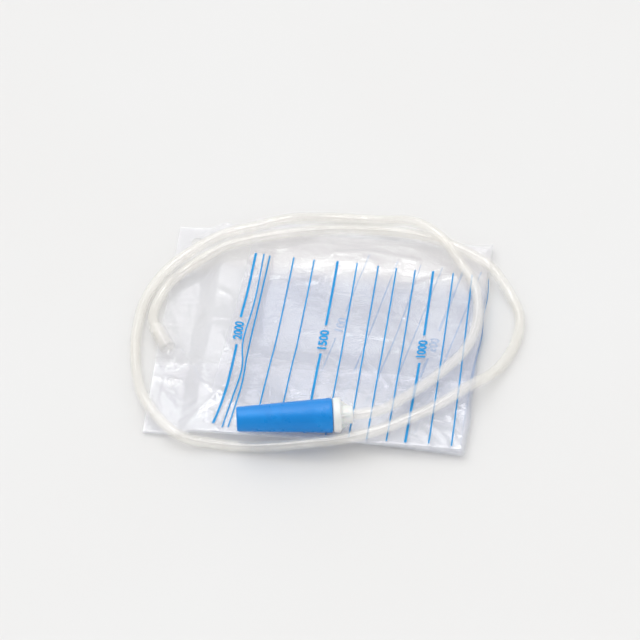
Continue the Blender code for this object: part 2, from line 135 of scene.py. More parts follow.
class Wires:
    """Adds and links the nodes of one tree."""

    def __init__(self, tree: NodeTree) -> None:
        """Keeps the tree."""
        self.tree = tree
        self.coords = self.add("ShaderNodeTexCoord", {}).outputs

    def put(self, socket: NodeSocket, value: object) -> None:
        """Links an input to an output, or sets its value.

        Args:
            socket: The input.
            value: The output or the value.
        """
        if isinstance(value, NodeSocket):
            self.tree.links.new(value, socket)
        else:
            socket.default_value = value

    def add(self, kind: str, inputs: dict, **settings: object) -> Node:
        """Adds a node.

        Args:
            kind: The node's type.
            inputs: Values or outputs for its inputs, by name or number.
            settings: Values for its own properties.

        Returns:
            The node.
        """
        node = self.tree.nodes.new(kind)
        for key, value in settings.items():
            setattr(node, key, value)
        for key, value in inputs.items():
            self.put(node.inputs[key], value)
        return node

    def calc(self, operation: str, first: object, second: object) -> NodeSocket:
        """Returns the output of a Math node."""
        return self.add("ShaderNodeMath", {0: first, 1: second}, operation=operation).outputs[0]

    def run(self, value: object, low: float, high: float, start: float = 0, end: float = 1) -> NodeSocket:
        """Returns the value's run from low to high, carried smoothly to start and end."""
        inputs = {"Value": value, "From Min": low, "From Max": high, "To Min": start, "To Max": end}
        return self.add("ShaderNodeMapRange", inputs, interpolation_type="SMOOTHSTEP").outputs["Result"]

    def noise(self, place: object, scale: float, detail: float = 3, warp: float = 0) -> NodeSocket:
        """Returns a noise from 0 to 1."""
        inputs = {"Vector": place, "Scale": scale, "Detail": detail, "Distortion": warp}
        return self.add("ShaderNodeTexNoise", inputs).outputs["Fac"]

    def mix(self, share: object, first: object, second: object) -> NodeSocket:
        """Returns a mix of two colours."""
        return self.add("ShaderNodeMix", {0: share, 6: first, 7: second}, data_type="RGBA").outputs[2]

    def bump(self, height: object, distance: float, below: object = None) -> NodeSocket:
        """Returns a normal bumped by the height, over another normal if one is given."""
        inputs = {"Height": height, "Distance": distance} | ({"Normal": below} if below else {})
        return self.add("ShaderNodeBump", inputs).outputs["Normal"]


class Nodes(Wires):
    """Wires one material's nodes to its Principled shader."""

    def __init__(self, name: str) -> None:
        """Makes the material.

        Args:
            name: Its name.
        """
        self.material = bpy.data.materials.new(name)
        self.material.use_nodes = True
        super().__init__(self.material.node_tree)
        self.shader = self.tree.nodes["Principled BSDF"]

    def finish(self, **values: object) -> None:
        """Sets or links the shader's inputs, each named with _ for a space."""
        for key, value in values.items():
            self.put(self.shader.inputs[key.replace("_", " ")], value)


def colour(red: float, green: float, blue: float) -> tuple:
    """Returns a linear colour from one as it is seen on a screen."""
    return (*(((v + 0.055) / 1.055) ** 2.4 if v > 0.04045 else v / 12.92 for v in (red, green, blue)), 1.0)


@dataclass(frozen=True)
class FilmFinish:
    """Clear soft PVC film with a lilac tint, crumpled, paler towards its far edge, with painted light towards
    its top edge and near fold, and embossed at its weld.

    The paling and the painted light are runs over the flat sheet: where each starts and ends, and its share
    there.
    """

    name: str
    tint: tuple = colour(0.815, 0.838, 0.912)
    haze: tuple = colour(0.87, 0.885, 0.937)
    # Pale tone: paler film towards the far edge, and painted light towards the top edge over the shaded sunk
    # slope
    pale_and_painted_light_tone: tuple = colour(0.98, 0.97, 0.972)
    # near: painted light, a paler colour towards the near fold that lifts the shade cast there by the tube
    # and the cap
    near: tuple = colour(0.962, 0.967, 0.99)
    weld: tuple = colour(0.93, 0.932, 0.955)
    alpha: float = 0.15
    crumple: float = 0.00088
    emboss: float = 0.00012
    far_milk: tuple = (0.115, 0.17, 0.9, 0.0)
    top_painted_light_run: tuple = (0.15, 0.2, 0.55, 0.0)
    near_painted_light_run: tuple = (0.39, 0.5, 0.0, 0.85)
    stray: float = 0.05

    def make(self) -> Material:
        """Makes the material, which reads the sheet's flat UV map and its weld attribute.

        Returns:
            The material.
        """
        nodes = Nodes(self.name)
        flat = nodes.coords["UV"]
        weld = nodes.add("ShaderNodeAttribute", {}, attribute_name="weld").outputs["Fac"]
        across, down = nodes.add("ShaderNodeSeparateXYZ", {0: flat}).outputs[:2]
        stray = nodes.calc("MULTIPLY", nodes.noise(flat, 9.0, 2.0), self.stray)
        across, down = nodes.calc("ADD", across, stray), nodes.calc("ADD", down, stray)
        # Paler towards the far edge; towards the top edge this is painted light that lifts the shade on the
        # sunk slope.
        paling_and_painted_light = nodes.calc("MAXIMUM", nodes.run(across, *self.far_milk), nodes.run(down, *self.top_painted_light_run))
        patches = nodes.run(nodes.noise(flat, 7.0, 3.0, 0.6), 0.35, 0.68)
        body = nodes.mix(paling_and_painted_light, nodes.mix(patches, self.tint, self.haze), self.pale_and_painted_light_tone)
        # Painted light: paler towards the near fold, over the shade cast by the tube and the cap.
        body = nodes.mix(nodes.run(across, *self.near_painted_light_run), body, self.near)
        cells = nodes.add("ShaderNodeTexVoronoi", {"Vector": flat, "Scale": 13.0}, feature="DISTANCE_TO_EDGE")
        creases = nodes.run(cells.outputs["Distance"], 0.0, 0.09, 0.22, 0.0)
        soft = nodes.bump(nodes.calc("ADD", nodes.noise(flat, 26.0, 3.0, 0.8), creases), self.crumple)
        hatch = nodes.add("ShaderNodeTexWave", {"Vector": flat, "Scale": 70.0}, bands_direction="DIAGONAL")
        pressed = nodes.bump(nodes.calc("MULTIPLY", hatch.outputs["Fac"], weld), self.emboss, soft)
        nodes.finish(
            Base_Color=nodes.mix(weld, body, self.weld), Normal=pressed, Coat_Normal=soft,
            Roughness=nodes.run(nodes.noise(flat, 40.0, 1.0), 0.3, 0.7, 0.14, 0.27),
            Alpha=self.alpha, IOR=1.5, Coat_Weight=1.0, Coat_Roughness=0.09, Coat_IOR=2.3,
        )
        return nodes.material


@dataclass(frozen=True)
class InkFinish:
    """Blue screen ink, a little uneven where the film was crumpled."""

    name: str
    deep: tuple = colour(0.0, 0.55, 0.81)
    thin: tuple = colour(0.06, 0.6, 0.85)
    alpha: float = 0.95

    def make(self) -> Material:
        """Makes the material.

        Returns:
            The material.
        """
        nodes = Nodes(self.name)
        place = nodes.coords["Object"]
        worn = nodes.run(nodes.noise(place, 90.0, 4.0), 0.4, 0.8)
        nodes.finish(
            Base_Color=nodes.mix(worn, self.deep, self.thin),
            Roughness=nodes.run(nodes.noise(place, 400.0), 0.3, 0.7, 0.3, 0.5),
            Normal=nodes.bump(nodes.noise(place, 2500.0, 2.0), 0.00002),
            Alpha=self.alpha, Specular_IOR_Level=0.15,
        )
        return nodes.material


@dataclass(frozen=True)
class HoseFinish:
    """Clear soft PVC hose, slightly cream, with faint lines drawn along it by its die."""

    name: str
    body: tuple = colour(0.965, 0.955, 0.93)
    cream: tuple = colour(0.95, 0.934, 0.9)
    alpha: float = 0.2

    def make(self) -> Material:
        """Makes the material, which reads the hose's UV map.

        Returns:
            The material.
        """
        nodes = Nodes(self.name)
        place = nodes.coords["Object"]
        round_it = nodes.add("ShaderNodeMapping", {"Vector": nodes.coords["UV"], "Scale": (1.0, 0.02, 1.0)})
        lines = nodes.noise(round_it.outputs[0], 26.0, 2.0)
        clouds = nodes.noise(place, 55.0, 3.0, 0.5)
        scuffs = nodes.noise(place, 700.0, 2.0)
        nodes.finish(
            Base_Color=nodes.mix(nodes.run(clouds, 0.35, 0.7), self.body, self.cream),
            Roughness=nodes.run(scuffs, 0.3, 0.75, 0.12, 0.26),
            Normal=nodes.bump(lines, 0.00002),
            Alpha=self.alpha, IOR=1.53, Coat_Weight=1.0, Coat_Roughness=0.1, Coat_IOR=2.0,
        )
        return nodes.material


@dataclass(frozen=True)
class MouldedFinish:
    """Moulded plastic with a fine spark-eroded grain and slight flow marks."""

    name: str
    body: tuple
    flow: tuple
    roughness: tuple
    alpha: float = 1.0
    glow: float = 0.0
    coat: float = 0.0
    shine: float = 0.5

    def make(self) -> Material:
        """Makes the material.

        Returns:
            The material.
        """
        nodes = Nodes(self.name)
        place = nodes.coords["Object"]
        marks = nodes.run(nodes.noise(place, 75.0, 4.0, 1.2), 0.35, 0.7)
        grain = nodes.noise(place, 3200.0, 2.0)
        handled = nodes.noise(place, 160.0, 3.0)
        nodes.finish(
            Base_Color=nodes.mix(marks, self.body, self.flow),
            Roughness=nodes.run(handled, 0.3, 0.7, *self.roughness),
            Normal=nodes.bump(grain, 0.00003, nodes.bump(handled, 0.00006)),
            Alpha=self.alpha, Specular_IOR_Level=self.shine, Coat_Weight=self.coat, Coat_Roughness=0.2,
            Subsurface_Weight=self.glow, Subsurface_Scale=0.002,
        )
        return nodes.material


@dataclass
class Studio:
    """The pale floor, the soft light and the camera at the photograph's angle."""

    floor_size: float = 12.0
    floor_tone: float = 0.73
    floor_tints: tuple = ((1.0, 1.0, 1.0), (0.99, 0.985, 0.98))
    world_light: float = 0.95
    world_tone: float = 0.89
    softbox: float = 4.5
    softbox_edges: tuple = ((0.89, 0.92), (0.96, 0.98))
    dim_room: float = -0.7
    dim_edge: tuple = (-0.75, -0.4)
    sun_strength: float = 0.96
    sun_spread: float = math.radians(50)
    sun_turn: tuple = (math.radians(-30), 0.0, math.radians(40))
    azimuth: float = math.radians(5.5)
    elevation: float = math.radians(47.5)
    distance: float = 1.5
    aim: tuple = (0.0031, -0.00585, 0.0)
    lens: float = 160.3
    shift: tuple = (-4 / 640, 21 / 640)

    def add_camera(self) -> None:
        """Adds the camera, at the photograph's viewing angle."""
        across, up = math.cos(self.elevation), math.sin(self.elevation)
        back = Vector((math.sin(self.azimuth) * across, -math.cos(self.azimuth) * across, up))
        lens = bpy.data.cameras.new("camera")
        lens.lens = self.lens
        lens.shift_x, lens.shift_y = self.shift
        lens.clip_start, lens.clip_end = 0.05, 30.0
        camera = bpy.data.objects.new("camera", lens)
        bpy.context.scene.collection.objects.link(camera)
        camera.location = Vector(self.aim) + back * self.distance
        camera.rotation_euler = (-back).to_track_quat("-Z", "Y").to_euler()
        bpy.context.scene.camera = camera

    def add_floor(self) -> None:
        """Adds the floor, which isn't part of the object."""
        deselect()
        bpy.ops.mesh.primitive_plane_add(size=self.floor_size)
        floor = bpy.context.object
        floor.name = "studio_floor"
        nodes = Nodes("pale_floor")
        cloud = nodes.run(nodes.noise(nodes.coords["Object"], 4.0), 0.3, 0.7)
        plain, warm = ((*(self.floor_tone * share for share in tint), 1.0) for tint in self.floor_tints)
        nodes.finish(Base_Color=nodes.mix(cloud, plain, warm), Roughness=0.75, Specular_IOR_Level=0.2)
        floor.data.materials.append(nodes.material)

    def add_light(self) -> None:
        """Adds an even world and one soft sun from behind.

        The world is pale behind the floor. Reflections show a ring of softboxes round the zenith, and a
        dim room on the near side.
        """
        world = bpy.data.worlds.new("studio_world")
        world.use_nodes = True
        bpy.context.scene.world = world
        wires = Wires(world.node_tree)
        ray = wires.add("ShaderNodeLightPath", {}).outputs
        seen = wires.calc("ADD", ray["Is Camera Ray"], ray["Is Transmission Ray"])
        seen = wires.calc("ADD", seen, ray["Is Glossy Ray"])
        level = wires.run(seen, 0.0, 1.0, self.world_light, self.world_tone)
        depth, height = wires.add("ShaderNodeSeparateXYZ", {0: wires.coords["Generated"]}).outputs[1:]
        outer, inner = (wires.run(height, *edge) for edge in self.softbox_edges)
        ring = wires.calc("MULTIPLY", wires.calc("SUBTRACT", outer, inner), self.softbox)
        shine = wires.calc("ADD", ring, wires.run(depth, *self.dim_edge, self.dim_room, 0.0))
        shine = wires.calc("MULTIPLY", shine, ray["Is Glossy Ray"])
        ground = wires.tree.nodes["Background"].inputs
        wires.put(ground["Strength"], wires.calc("ADD", level, shine))
        wires.put(ground["Color"], (1.0, 0.998, 0.992, 1.0))
        sun = bpy.data.objects.new("soft_sun", bpy.data.lights.new("soft_sun", "SUN"))
        sun.data.energy, sun.data.angle = self.sun_strength, self.sun_spread
        sun.rotation_euler = self.sun_turn
        bpy.context.scene.collection.objects.link(sun)
        bpy.context.scene.view_settings.view_transform = "Standard"
        bpy.context.scene.cycles.transparent_max_bounces = 48


class Film(Enum):
    """A film of the bag: its level over the core of the cross fold, and the same where it is folded under."""

    FRONT = (0.0033, 0.0005)
    BACK = (0.0026, 0.0012)


@dataclass
class BagFold:
    """Carries flat places on the bag to where they lie, folded along, then across, and crumpled.

    A flat place is (down, across): down from the top edge, and across from the far edge. A crease is a
    ridge in the top panel, or a furrow where its height is below 0: its height, its width and the places
    that it runs through, all in millimetres.
    """

    flat_length: float = 0.300
    flat_width: float = 0.200
    top_edge_x: float = -0.086
    far_edge_y: float = 0.076
    main_width: float = 0.1486
    long_arc: float = 0.0044
    cross_fold_x: float = 0.0787
    cross_arc: float = 0.006
    skew: float = math.radians(2.2)
    skew_from: float = 0.042
    core_height: float = 0.00375
    core_radius: float = 0.0003
    sink_x: tuple = (-0.058, -0.071)
    sink_depth: float = 0.0042
    sunk_dip: float = -0.0001
    strip_edge: tuple = (-0.0256, -0.0196)
    strip_depth: float = 0.0020
    port_exit: tuple = (-0.0883, -0.0036)
    port_height: float = 0.0051
    port_heading: tuple = (-0.5, 0.866)
    port_bulge: float = 0.00845
    port_spread: float = 0.026
    port_fade: tuple = (0.018, 0.034)
    port_calm: tuple = (0.020, 0.030)
    valve_lift: float = 0.00085
    valve_ends: tuple = ((-0.008, 0.016), (0.058, 0.066))
    valve_side: tuple = (0.010, 0.018)
    wave_count: int = 9
    wave_height: float = 0.00017
    low_wave_height: float = 0.00009
    low_wave_rate: float = 1.3
    low_wave_turn: float = 1.0
    low_wave_top: float = 3.0
    small_creases: int = 64
    cord_clear: tuple = (0.0035, 0.011)
    cord_calm: float = 0.2
    sag: float = 0.0016
    sag_off_cord: tuple = (0.006, 0.03)
    sag_x: tuple = ((-0.052, -0.03), (0.055, 0.076))
    sag_y: tuple = ((-0.0256, -0.0096), (0.045, 0.06))
    droop: float = 0.0046
    droop_y: tuple = (0.0695, 0.0765)
    droop_x: tuple = (-0.062, -0.048)
    fold_ripple: float = 0.0004
    ripple_rate: float = 210.0
    weld_edge: tuple = (0.0043, 0.0067)
    weld_squeeze: float = 0.72
    weld_gap: tuple = (0.005, 0.05)
    weld_gap_edge: float = 0.006
    hole_inset: float = 0.011
    hole_radius: float = 0.0035
    eyelet_edge: tuple = (0.0075, 0.0095)
    mark: tuple = (0.0031, -0.00585, 0.0)
    creases: tuple = (
        (0.75, 1.9, (-34, 68), (-37, 40), (-39.5, 12), (-41, -10), (-40, -26), (-43, -48), (-49, -72)),
        (-0.55, 4.0, (-29, 60), (-32, 20), (-35, -15), (-35, -50)),
        (0.85, 1.5, (-86, -36), (-68, -39), (-49, -47)), (0.7, 1.4, (-49, -47), (-56, -57), (-65, -69)),
        (0.5, 1.7, (-84, -40), (-74, -52), (-66, -66)), (-0.5, 4.5, (-80, -39), (-66, -49), (-62, -60)),
        (0.9, 1.1, (36, -58), (38, -66), (42, -76)), (0.7, 0.9, (40.5, -60), (42, -66), (45, -75)),
        (0.5, 2.2, (52, -44), (66, -26), (80, -4)), (0.55, 1.6, (60, -30), (68, -48), (75, -60)),
        (0.5, 1.5, (50, -52), (62, -60), (76, -64)), (0.8, 1.0, (56, -62), (60, -68), (61, -75)),
        (0.8, 0.9, (64, -62), (69, -68), (70, -76)), (0.6, 0.9, (70, -58), (73, -66), (77, -72)),
        (0.8, 1.0, (-52, -60), (-50, -70), (-52, -77)), (0.6, 0.8, (-28, -66), (-27, -72), (-25, -76)),
        (0.55, 1.1, (14, -56), (19, -68), (24, -76)), (0.35, 1.6, (0, 58), (20, 61), (44, 57)),
        (0.35, 1.8, (46, 40), (62, 48), (74, 46)), (0.45, 1.8, (-80, 44), (-66, 30), (-52, 22)),
    )

    def __post_init__(self) -> None:
        """Works out where the cross fold and the holes are, and draws the waves and the small creases."""
        self.cross_start = self.cross_fold_x - self.top_edge_x
        self.cross_end = self.cross_start + self.cross_arc
        self.holes = (self.hole_inset, self.flat_width - self.hole_inset)
        self.axis = (math.sin(self.skew), math.cos(self.skew))
        rng = np.random.default_rng(11)
        self.waves = [(rng.uniform(60, 190), rng.uniform(0, math.tau), rng.uniform(0, math.tau))
                      for _ in range(self.wave_count)]
        small = []
        for _ in range(self.small_creases):
            x, y, turn = rng.uniform(-78, 74), rng.uniform(-70, 62), rng.uniform(0, math.pi)
            run = rng.uniform(4, 15)
            dx, dy, bent = run * math.cos(turn), run * math.sin(turn), rng.uniform(-0.25, 0.25)
            line = ((x - dx, y - dy), (x - dy * bent, y + dx * bent), (x + dx, y + dy))
            small.append((rng.uniform(-0.2, 0.34), rng.uniform(0.8, 1.8), *line))
        self.all_creases = (*self.creases, *small)
        self.cord_tree = None

    def from_mark(self, x: float, y: float, z: float) -> Vector:
        """Returns a place measured from the mark, in the row frame."""
        return Vector(np.add(self.mark, (x, y, z)))

    def rest_under(self, route: Array) -> None:
        """Notes where the tube lies on the bag, so that the film lies flat against it there.

        Args:
            route: The points of the tube's line, in the row frame.
        """
        self.cord_tree = KDTree(len(route))
        for number, (x, y, _) in enumerate(route):
            self.cord_tree.insert((x - self.mark[0], y - self.mark[1], 0.0), number)
        self.cord_tree.balance()

    def from_cord(self, x: Array, y: Array) -> Array:
        """Returns how far each place is from the tube's line."""
        found = [self.cord_tree.find((a, b, 0.0))[2] for a, b in zip(x.ravel(), y.ravel())]
        return np.array(found).reshape(x.shape)

    def along_port(self, x: Array, y: Array) -> tuple:
        """Works out where places lie from the port.

        Args:
            x: The places' x, from the mark.
            y: Their y.

        Returns:
            How far they are inward from the port's exit, and how far off its axis.
        """
        away_x, away_y = x - self.port_exit[0], y - self.port_exit[1]
        head_x, head_y = self.port_heading
        return -(away_x * head_x + away_y * head_y), away_x * head_y - away_y * head_x

    def bulge(self, x: Array, y: Array) -> Array:
        """Works out how the port and the valve lift the front film.

        Args:
            x: The places' x, from the mark.
            y: Their y.

        Returns:
            The film's rise over them.
        """
        inward, across = self.along_port(x, y)
        port = self.port_bulge * np.cos(np.pi * np.clip(across / self.port_spread, -0.5, 0.5)) ** 2
        port *= 1 - ease(inward, *self.port_fade)
        valve = within(inward, *self.valve_ends) * (1 - ease(np.abs(across), *self.valve_side))
        return np.maximum(port, self.valve_lift * valve)

    def rolling(self, x: Array, y: Array, rate: float = 1.0, turned: float = 0.0) -> Array:
        """Returns the sum of the film's waves, at a rate and turned by an angle."""
        return sum(np.sin(rate * pace * (x * np.cos(turn + turned) + y * np.sin(turn + turned)) + phase)
                   for pace, turn, phase in self.waves)

    def creased(self, x: Array, y: Array) -> Array:
        """Works out how the creases press the top panel's films up or down.

        Args:
            x: The places' x, from the mark.
            y: Their y.

        Returns:
            The films' rise.
        """
        rise = 0.0
        for height, width, *line in self.all_creases:
            near = np.ones(x.shape)
            for ends in zip(line, line[1:]):
                (ax, ay), (bx, by) = np.array(ends) * MM
                part = ((x - ax) * (bx - ax) + (y - ay) * (by - ay)) / ((bx - ax) ** 2 + (by - ay) ** 2)
                part = np.clip(part, 0.0, 1.0)
                near = np.minimum(near, np.hypot(x - ax - part * (bx - ax), y - ay - part * (by - ay)))
            rise = rise + height * MM * np.exp(-(near / (width * MM)) ** 2)
        return rise

    def crumple(self, x: Array, y: Array) -> Array:
        """Works out the top panel's waves and creases, which are calm under the tube and round the port.

        Args:
            x: The places' x, from the mark.
            y: Their y.

        Returns:
            How far its films rise from their plain height there.
        """
        cord, sunk = self.from_cord(x, y), ease(x, *self.sink_x)
        rise = self.wave_height * self.rolling(x, y) + self.creased(x, y)
        rise = rise * (self.cord_calm + (1 - self.cord_calm) * ease(cord, *self.cord_clear))
        rise = rise * (1 - sunk) + np.maximum(rise, self.sunk_dip) * sunk
        inward, across = self.along_port(x, y)
        rise *= 1 - (1 - ease(inward, *self.port_calm)) * (1 - ease(np.abs(across), *self.valve_side))
        sag = self.sag * ease(cord, *self.sag_off_cord) * within(y, *self.sag_y) * within(x, *self.sag_x)
        droop = self.droop * ease(y, *self.droop_y) * ease(x, *self.droop_x)
        return rise - sag - droop * (1 - sunk)

    def settle(self, x: Array, y: Array) -> Array:
        """Returns how far the lower panel's films rise from their plain height at a place."""
        rolling = self.rolling(x, y, self.low_wave_rate, self.low_wave_turn)
        return self.low_wave_height * np.clip(rolling, 0.0, self.low_wave_top)

    def plain_height(self, x: Array, y: Array, level: Array, main_share: Array) -> Array:
        """Returns how high a level of the top panel lies, sunk where nothing is folded under it."""
        step = main_share * self.strip_depth * ease(y, *self.strip_edge)
        return self.core_height + self.core_radius + level - ease(x, *self.sink_x) * (self.sink_depth + step)

    def fold_along(self, down: Array, across: Array, film: Film) -> tuple:
        """Folds the near strip under the main panel, before the bag is folded across.

        Args:
            down: How far each place is from the top edge.
            across: How far each place is from the far edge.
            film: The film.

        Returns:
            The places' x and y from the mark, the film's level there, and the main panel's share: 1 on
            it, 0 on the strip and less from one to the other round the fold.
        """
        loose = 1 - self.weld_squeeze * self.weld_share(down, across)
        middles = [sum(each.value[k] for each in Film) / 2 for k in (0, 1)]
        level, strip_level = (middle + (own - middle) * loose for middle, own in zip(middles, film.value))
        turn = np.pi * np.clip((across - self.main_width) / self.long_arc, 0.0, 1.0)
        radius = (level - strip_level) / 2
        y = self.far_edge_y - self.main_width - radius * np.sin(turn)
        y += np.maximum(self.main_width - across, 0) + np.maximum(across - self.main_width - self.long_arc, 0)
        under = (self.flat_length - down) / (self.flat_length - self.cross_end)
        skewed = np.where(down > self.cross_end, under, ease(down, self.skew_from, self.cross_start))
        x = self.top_edge_x + down + math.tan(self.skew) * y * skewed
        return x, y, strip_level + radius * (1 + np.cos(turn)), 0.5 + 0.5 * np.cos(turn)

    def place(self, down: Array, across: Array, film: Film) -> Array:
        """Returns where flat places of a film lie, in the row frame.

        Args:
            down: How far each place is from the top edge.
            across: How far each place is from the far edge.
            film: The film.

        Returns:
            The places, with x, y and z last.
        """
        x, y, here, main_share = self.fold_along(down, across, film)
        fold_x = self.cross_fold_x + math.tan(self.skew) * y
        top_rise = self.crumple(np.minimum(x, fold_x), y)
        z = self.plain_height(x, y, here, main_share) + top_rise
        if film is Film.FRONT:
            z = z + main_share * self.bulge(x, y)
        # Past the cross fold's line the sheet rolls round the core, and then runs back under the bag.
        sin, cos = self.axis
        along = (x - self.cross_fold_x) * sin + y * cos
        past = (x - self.cross_fold_x) * cos - y * sin
        share = np.clip(past / (self.cross_arc * cos), 0.0, 1.0)
        bend = np.pi * share
        ripple = self.fold_ripple * np.sin(along * self.ripple_rate) * np.sin(bend) ** 2
        curl = self.core_radius + here + ripple
        out = curl * np.sin(bend) - np.maximum(past - self.cross_arc * cos, 0.0)
        low_x, low_y = self.cross_fold_x + along * sin + out * cos, along * cos - out * sin
        rise = top_rise * (1 - ease(share, 0.0, 1.0)) * np.cos(bend)
        rise = rise + ease(share, 0.5, 1.0) * self.settle(np.minimum(low_x, fold_x), low_y)
        low_z = self.core_height + curl * np.cos(bend) + rise
        spot = [np.where(past > 0, low, top) for low, top in ((low_x, x), (low_y, y), (low_z, z))]
        return np.stack(spot, axis=-1) + np.array(self.mark)

    def weld_share(self, down: Array, across: Array) -> Array:
        """Returns the weld's share: 1 at the sheets' edges and round the hanging holes, 0 elsewhere.

        Args:
            down: How far each place is from the top edge.
            across: How far each place is from the far edge.

        Returns:
            The share at each place. The port and the valve part the weld.
        """
        sides = (down, self.flat_length - down, across, self.flat_width - across)
        weld = 1 - ease(np.minimum.reduce(sides), *self.weld_edge)
        for hole in self.holes:
            reach = np.hypot(down - self.hole_inset, across - hole)
            weld = np.maximum(weld, 1 - ease(reach, *self.eyelet_edge))
        inward, aside = self.along_port(self.top_edge_x + down, self.far_edge_y - across)
        past_port = np.maximum(np.abs(aside) - self.weld_gap[0], inward - self.weld_gap[1])
        return weld * ease(past_port, 0.0, self.weld_gap_edge)

    def outward(self, down: Array, across: Array, film: Film) -> Array:
        """Works out the unit normals on the bag's outer side.

        Args:
            down: How far each place is from the top edge.
            across: How far each place is from the far edge.
            film: The film.

        Returns:
            The normals at those places of the film.
        """
        tip = 0.0003
        along_down = self.place(down + tip, across, film) - self.place(down - tip, across, film)
        along_across = self.place(down, across + tip, film) - self.place(down, across - tip, film)
        normal = np.cross(along_across, along_down)
        return normal / np.linalg.norm(normal, axis=-1, keepdims=True)

    def flat_above(self, x: Array, y: Array) -> tuple:
        """Finds the flat places of places on the top panel.

        Args:
            x: The places' x, from the mark.
            y: Their y.

        Returns:
            How far down they are, and how far across.
        """
        down = x - self.top_edge_x
        for _ in range(4):
            share = ease(down, self.skew_from, self.cross_start)
            down = x - self.top_edge_x - math.tan(self.skew) * y * share
        return down, self.far_edge_y - y

    def flat_below(self, x: Array, y: Array) -> tuple:
        """Finds the flat places of places on the panel that is folded under.

        Args:
            x: The places' x, from the mark.
            y: Their y.

        Returns:
            How far down they are, and how far across.
        """
        sin, cos = self.axis
        along = (x - self.cross_fold_x) * sin + y * cos
        past = self.cross_arc * cos - (x - self.cross_fold_x) * cos + y * sin
        flat_x, flat_y = self.cross_fold_x + along * sin + past * cos, along * cos - past * sin
        slope = math.tan(self.skew) * flat_y / (self.flat_length - self.cross_end)
        down = (flat_x - self.top_edge_x - slope * self.flat_length) / (1 - slope)
        return down, self.far_edge_y - flat_y


@dataclass
class BagFilms:
    """The bag's two films, cut flat, punched at their hanging holes and folded."""

    fold: BagFold
    pitch: float = 0.0011
    fold_pitch: float = 0.0004
    hole_pitch: float = 0.0007
    hole_margin: float = 0.0015
    low_pitch: float = 0.0017

    def stations(self, *runs: tuple) -> Array:
        """Spaces out stations along a sheet, from its edge.

        Args:
            runs: The runs, each with its end and its pitch.

        Returns:
            The stations.
        """
        parts, start = [], 0.0
        for end, pitch in runs:
            parts.append(np.linspace(start, end, max(1, round((end - start) / pitch)), endpoint=False))
            start = end
        return np.concatenate([*parts, [start]])

    def make(self, name: str, film: Film, finish: FilmFinish) -> Object:
        """Makes one film.

        Args:
            name: The piece's name.
            film: Which film it is.
            finish: Its finish.

        Returns:
            The folded sheet, with a flat UV map and a weld attribute.
        """
        fold, reach = self.fold, self.fold.hole_radius + self.hole_margin
        far_hole, near_hole = fold.holes
        start = ((far_hole - reach, self.pitch), (far_hole + reach, self.hole_pitch))
        down = self.stations(
            *start, (fold.cross_start, self.pitch), (fold.cross_end, self.fold_pitch),
            (fold.flat_length, self.low_pitch))
        across = self.stations(
            *start, (fold.main_width, self.pitch), (fold.main_width + fold.long_arc, self.fold_pitch),
            (near_hole - reach, self.low_pitch), (near_hole + reach, self.hole_pitch),
            (fold.flat_width, self.pitch))
        grid_down, grid_across = np.meshgrid(down, across, indexing="ij")
        middles = np.meshgrid((down[1:] + down[:-1]) / 2, (across[1:] + across[:-1]) / 2, indexing="ij")
        kept = np.ones(middles[0].shape, bool)
        for hole in fold.holes:
            clear = np.hypot(middles[0] - fold.hole_inset, middles[1] - hole) > fold.hole_radius
            kept &= clear
            self.round_off(grid_down, grid_across, clear, (fold.hole_inset, hole))
        quads = grid_quads(len(down), len(across))[kept]
        if film is Film.BACK:
            quads = quads[:, ::-1]
        flat = np.stack([grid_across, grid_down], axis=-1).reshape(-1, 2) / fold.flat_length
        sheet = lay_quads(name, fold.place(grid_down, grid_across, film), quads, flat[quads], finish.make())
        mark_weld(sheet, fold.weld_share(grid_down, grid_across))
        take(sheet)
        bpy.ops.object.mode_set(mode="EDIT")
        bpy.ops.mesh.select_all(action="SELECT")
        bpy.ops.mesh.delete_loose()
        bpy.ops.object.mode_set(mode="OBJECT")
        return sheet

    def round_off(self, down: Array, across: Array, kept: Array, hole: tuple) -> None:
        """Moves the grid's points at the rim of a hole onto its circle.

        Args:
            down: How far the grid's points are from the top edge, which is changed.
            across: How far they are from the far edge, which is changed.
            kept: Whether each of the grid's cells is clear of the hole.
            hole: The flat place of the hole's middle.
        """
        padded = np.pad(kept, 1, constant_values=True)
        around = np.stack([padded[:-1, :-1], padded[1:, :-1], padded[:-1, 1:], padded[1:, 1:]])
        rim = around.any(axis=0) & ~around.all(axis=0)
        off_down, off_across = down[rim] - hole[0], across[rim] - hole[1]
        grow = self.fold.hole_radius / np.hypot(off_down, off_across)
        down[rim], across[rim] = hole[0] + off_down * grow, hole[1] + off_across * grow


@dataclass(frozen=True)
class ScaleLine:
    """One line of the volume scale, through places from the mark in millimetres, and its number if any."""

    points: tuple
    number: str = ""
    number_at: tuple = (0.0, 0.0)
    wide: bool = False


